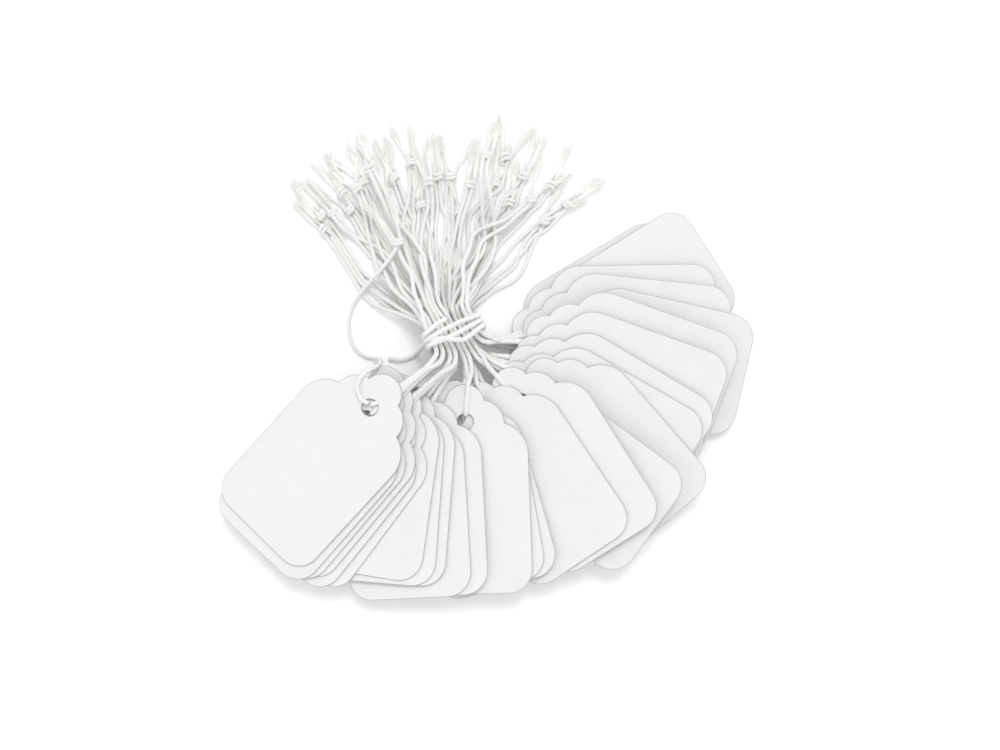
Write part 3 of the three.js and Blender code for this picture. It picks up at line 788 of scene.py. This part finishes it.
def card_outline():
    far, half = CARD_LENGTH - HOLE_TO_TIP, CARD_WIDTH / 2
    corner_rise = CORNER * (1 - math.sqrt(0.5))
    (side_x, side_y), (crown_x, crown_y) = SIDE_NOTCH, CROWN_NOTCH
    shape = [(SHOULDER_ALONG, -half), (far - CORNER, -half)]
    arc_to(shape, (far, CORNER - half), corner_rise)
    shape.append((far, half - CORNER))
    arc_to(shape, (far - CORNER, half), corner_rise)
    shape.append((SHOULDER_ALONG, half))
    arc_to(shape, (side_x, side_y), LOBE_RISE)
    arc_to(shape, (crown_x, crown_y), LOBE_RISE)
    arc_to(shape, (crown_x, -crown_y), CROWN_RISE, 24)
    arc_to(shape, (side_x, -side_y), LOBE_RISE)
    arc_to(shape, (SHOULDER_ALONG, -half), LOBE_RISE)
    return shape[:-1]


def cut_card(index):
    name = f"tag_{index + 1:02d}"
    normal, centre = np.array(hinges[index]["axis"]), np.array(hinges[index]["pos_m"]) / MM
    corners = np.array([v.co for v in frame["nodes"][name].data.vertices]) / MM
    ahead = corners.mean(axis=0) - centre
    ahead = unit(ahead - normal * (ahead @ normal))
    beside_it = np.cross(normal, ahead)
    round_hole = np.linspace(0, 2 * math.pi, 40, endpoint=False)
    ring = [(HOLE_RADIUS * math.cos(a), HOLE_RADIUS * math.sin(a)) for a in round_hole]
    under = normal * CARD_THICKNESS / 2
    bm = bmesh.new()
    for loop in (card_outline(), ring):
        places = [(centre + ahead * x + beside_it * y - under) * MM for x, y in loop]
        verts = [bm.verts.new(Vector(place)) for place in places]
        for a, b in zip(verts, verts[1:] + verts[:1]):
            bm.edges.new((a, b))
    bmesh.ops.triangle_fill(bm, use_beauty=True, use_dissolve=False, edges=bm.edges[:])
    grown = bmesh.ops.extrude_face_region(bm, geom=bm.faces[:])
    top = [v for v in grown["geom"] if isinstance(v, bmesh.types.BMVert)]
    bmesh.ops.translate(bm, vec=Vector(normal * CARD_THICKNESS * MM), verts=top)
    rims = [e for e in bm.edges if len(e.link_faces) == 2 and e.calc_face_angle(0) > RIM_ANGLE]
    bmesh.ops.bevel(bm, geom=rims, offset=CUT_EDGE * MM, offset_type="OFFSET",
                    segments=1, profile=0.5, affect="EDGES")
    card = piece_from(bm, f"card_{index + 1:02d}")
    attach(card, f"body_{name}")
    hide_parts(name)


for i in range(len(ROWS)):
    cut_card(i)
print(len(ROWS), "cards cut")

# %% [markdown]
# ## Materials
#
# A material is named for what it is made of. One function turns a colour code into linear
# values and one adds a shader node with its settings, input values and links.


# %% Colours and shader nodes
def linear(code):
    """A colour like "f4f2ee" as linear values with alpha."""
    parts = [int(code[k:k + 2], 16) / 255 for k in (0, 2, 4)]
    return tuple(v / 12.92 if v <= 0.04045 else ((v + 0.055) / 1.055) ** 2.4 for v in parts) + (1.0,)


def node(tree, kind, links=(), inputs=(), **settings):
    """A shader node. Its inputs are given by name or by number."""
    made = tree.nodes.new(kind)
    for key, value in settings.items():
        setattr(made, key, value)
    for key, value in dict(inputs).items():
        made.inputs[key].default_value = value
    for source, target in links:
        tree.links.new(source, made.inputs[target])
    return made


def new_material(name, **surface):
    """A material with one principled shader, and its node tree and shader to add to."""
    made = bpy.data.materials.new(name)
    made.use_nodes = True
    tree = made.node_tree
    tree.nodes.clear()
    values = {key.replace("_", " "): value for key, value in surface.items()}
    shader = node(tree, "ShaderNodeBsdfPrincipled", inputs=values)
    node(tree, "ShaderNodeOutputMaterial", [(shader.outputs["BSDF"], "Surface")])
    return made, tree, shader


# %% [markdown]
# The card is uncoated bleached board, calendered smooth: a matte face with faint clouds of
# fibre 6 mm across, and fibres of 0.4 mm in its relief, so light spreads evenly over it. The
# die-cut edge is pressed and rougher, and its colour is painted shade: a dark grey that gives
# each card a thin grey outline like a shadow line.

# %% The card
CLOUD, FIBRE = 6 * MM, 0.4 * MM
# the third colour is painted shade: a dark grey on the cut edges for the shadow line along each card's edge
CARD_LOW, CARD_HIGH, CARD_EDGE_SHADE = "e4e5e5", "e8e8e8", "b0b0ae"
EDGE_SHADE_TILT = 0.85  # a face gets the painted edge shade where its normal stands less upright than this
MIDDLE_OF_NOISE = {"From Min": 0.3, "From Max": 0.7}


def card_material():
    made, tree, shader = new_material(
        "uncoated_white_card", Roughness=0.78, IOR=1.5, Specular_IOR_Level=0.25)
    place = node(tree, "ShaderNodeTexCoord").outputs["Object"]
    cloud = node(tree, "ShaderNodeTexNoise", [(place, "Vector")], {"Scale": 1 / CLOUD, "Detail": 3})
    share = node(tree, "ShaderNodeMapRange", [(cloud.outputs["Fac"], "Value")], MIDDLE_OF_NOISE)
    face = node(tree, "ShaderNodeMix", [(share.outputs["Result"], 0)],
                {6: linear(CARD_LOW), 7: linear(CARD_HIGH)}, data_type="RGBA")
    normal = node(tree, "ShaderNodeNewGeometry").outputs["Normal"]
    upright = node(tree, "ShaderNodeSeparateXYZ", [(normal, "Vector")]).outputs["Z"]
    flat = node(tree, "ShaderNodeMath", [(upright, 0)], operation="ABSOLUTE").outputs[0]
    # the cut edges and their slopes take the dark grey: painted shade for the shadow line along each card's
    # edge
    cut = node(tree, "ShaderNodeMath", [(flat, 0)], {1: EDGE_SHADE_TILT}, operation="LESS_THAN").outputs[0]
    colour = node(tree, "ShaderNodeMix", [(cut, 0), (face.outputs[2], 6)],
                  {7: linear(CARD_EDGE_SHADE)}, data_type="RGBA")
    tree.links.new(colour.outputs[2], shader.inputs["Base Color"])
    fibres = node(tree, "ShaderNodeTexNoise", [(place, "Vector")],
                  {"Scale": 1 / FIBRE, "Detail": 4, "Roughness": 0.6})
    relief = node(tree, "ShaderNodeBump", [(fibres.outputs["Fac"], "Height")],
                  {"Strength": 0.12, "Distance": 0.03 * MM})
    tree.links.new(relief.outputs["Normal"], shader.inputs["Normal"])
    return made


card = card_material()

# %% [markdown]
# The string is bleached cotton, two loosely spun plies twisted together: matte, a little
# fuzzy, whiter than the card. Its fibres follow the twist. Real ones are 0.02 mm thick, and
# they are drawn 0.09 mm wide and 0.5 mm long to be seen at this size. A faint glow stands for
# the light that loose fibres pass on to each other, more in the frayed tails.

# %% The cotton
FIBRE_WIDE, FIBRE_LONG = 0.09, 0.5
COTTON_LOW, COTTON_HIGH = "e4e3e1", "efeeed"


def cotton_material(name, glow):
    made, tree, shader = new_material(
        name, Roughness=0.9, IOR=1.5, Specular_IOR_Level=0.15, Sheen_Weight=0.15,
        Emission_Color=linear("fffdfa"), Emission_Strength=glow)
    uv = node(tree, "ShaderNodeUVMap").outputs["UV"]
    split = node(tree, "ShaderNodeSeparateXYZ", [(uv, "Vector")])
    run, turn = split.outputs["X"], split.outputs["Y"]
    twist = node(tree, "ShaderNodeMath", [(run, 0)], {1: PLY_PITCH}, operation="DIVIDE").outputs[0]
    round_it = node(tree, "ShaderNodeMath", [(turn, 0), (twist, 1)], operation="SUBTRACT").outputs[0]
    angle = node(tree, "ShaderNodeMath", [(round_it, 0)], {1: 2 * math.pi}, operation="MULTIPLY").outputs[0]
    cosine = node(tree, "ShaderNodeMath", [(angle, 0)], operation="COSINE").outputs[0]
    sine = node(tree, "ShaderNodeMath", [(angle, 0)], operation="SINE").outputs[0]
    scale = RADIUS / FIBRE_WIDE  # the vector runs round a circle of radius 1 for one of RADIUS
    stretch = 1 / (scale * FIBRE_LONG)
    along = node(tree, "ShaderNodeMath", [(run, 0)], {1: stretch}, operation="MULTIPLY").outputs[0]
    vector = node(tree, "ShaderNodeCombineXYZ", [(cosine, "X"), (sine, "Y"), (along, "Z")]).outputs[0]
    fibres = node(tree, "ShaderNodeTexNoise", [(vector, "Vector")],
                  {"Scale": scale, "Detail": 4, "Roughness": 0.65})
    share = node(tree, "ShaderNodeMapRange", [(fibres.outputs["Fac"], "Value")], MIDDLE_OF_NOISE)
    colour = node(tree, "ShaderNodeMix", [(share.outputs["Result"], 0)],
                  {6: linear(COTTON_LOW), 7: linear(COTTON_HIGH)}, data_type="RGBA")
    tree.links.new(colour.outputs[2], shader.inputs["Base Color"])
    relief = node(tree, "ShaderNodeBump", [(fibres.outputs["Fac"], "Height")],
                  {"Strength": 0.35, "Distance": 0.12 * MM})
    tree.links.new(relief.outputs["Normal"], shader.inputs["Normal"])
    return made


cotton = cotton_material("twisted_white_cotton", 0.02)
brush = cotton_material("loose_white_cotton_fibres", 0.15)
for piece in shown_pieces():
    piece.data.materials.append(card if piece.name.startswith("card_") else cotton)
    if "tails" in piece.name:
        piece.data.materials.append(brush)

# %% [markdown]
# ## Table and light
#
# A white acrylic table with a faint glow runs out into a white background. A soft sun stands
# high and a little behind the bundle, so each card draws a fine shadow line at its edges; the
# painted dark grey of the cut edges deepens that line.

# %% Table, background and lamps
def add_table():
    bm = bmesh.new()
    corners = [(-3, -3), (3, -3), (3, 3), (-3, 3)]  # metres
    bm.faces.new([bm.verts.new((x, y, -0.02 * MM)) for x, y in corners])
    table = piece_from(bm, "table_top")
    acrylic, _, _ = new_material(
        "white_acrylic_table", Base_Color=linear("fdfdfd"), Roughness=0.9,
        Emission_Color=linear("ffffff"), Emission_Strength=0.05)
    table.data.materials.append(acrylic)


def add_sun(name, place, spread, strength):
    data = bpy.data.lights.new(name, "SUN")
    data.angle, data.energy = math.radians(spread), strength
    lamp = bpy.data.objects.new(name, data)
    lamp.location = place
    lamp.rotation_euler = Vector(place).to_track_quat("Z", "Y").to_euler()
    scene.collection.objects.link(lamp)


def set_world(seen, lit):
    """White where the camera sees it, and a dimmer white dome as light."""
    world = bpy.data.worlds.new("white_surround")
    scene.world = world
    world.use_nodes = True
    tree = world.node_tree
    background = tree.nodes["Background"]
    background.inputs["Color"].default_value = linear("ffffff")
    camera_ray = node(tree, "ShaderNodeLightPath").outputs["Is Camera Ray"]
    strength = node(tree, "ShaderNodeMapRange", [(camera_ray, "Value")], {"To Min": lit, "To Max": seen})
    tree.links.new(strength.outputs["Result"], background.inputs["Strength"])


add_table()
add_sun("soft_sun", (0.1, 0.5, 0.95), 22, 0.9)
set_world(1.0, 0.9)
scene.view_settings.view_transform = "Standard"
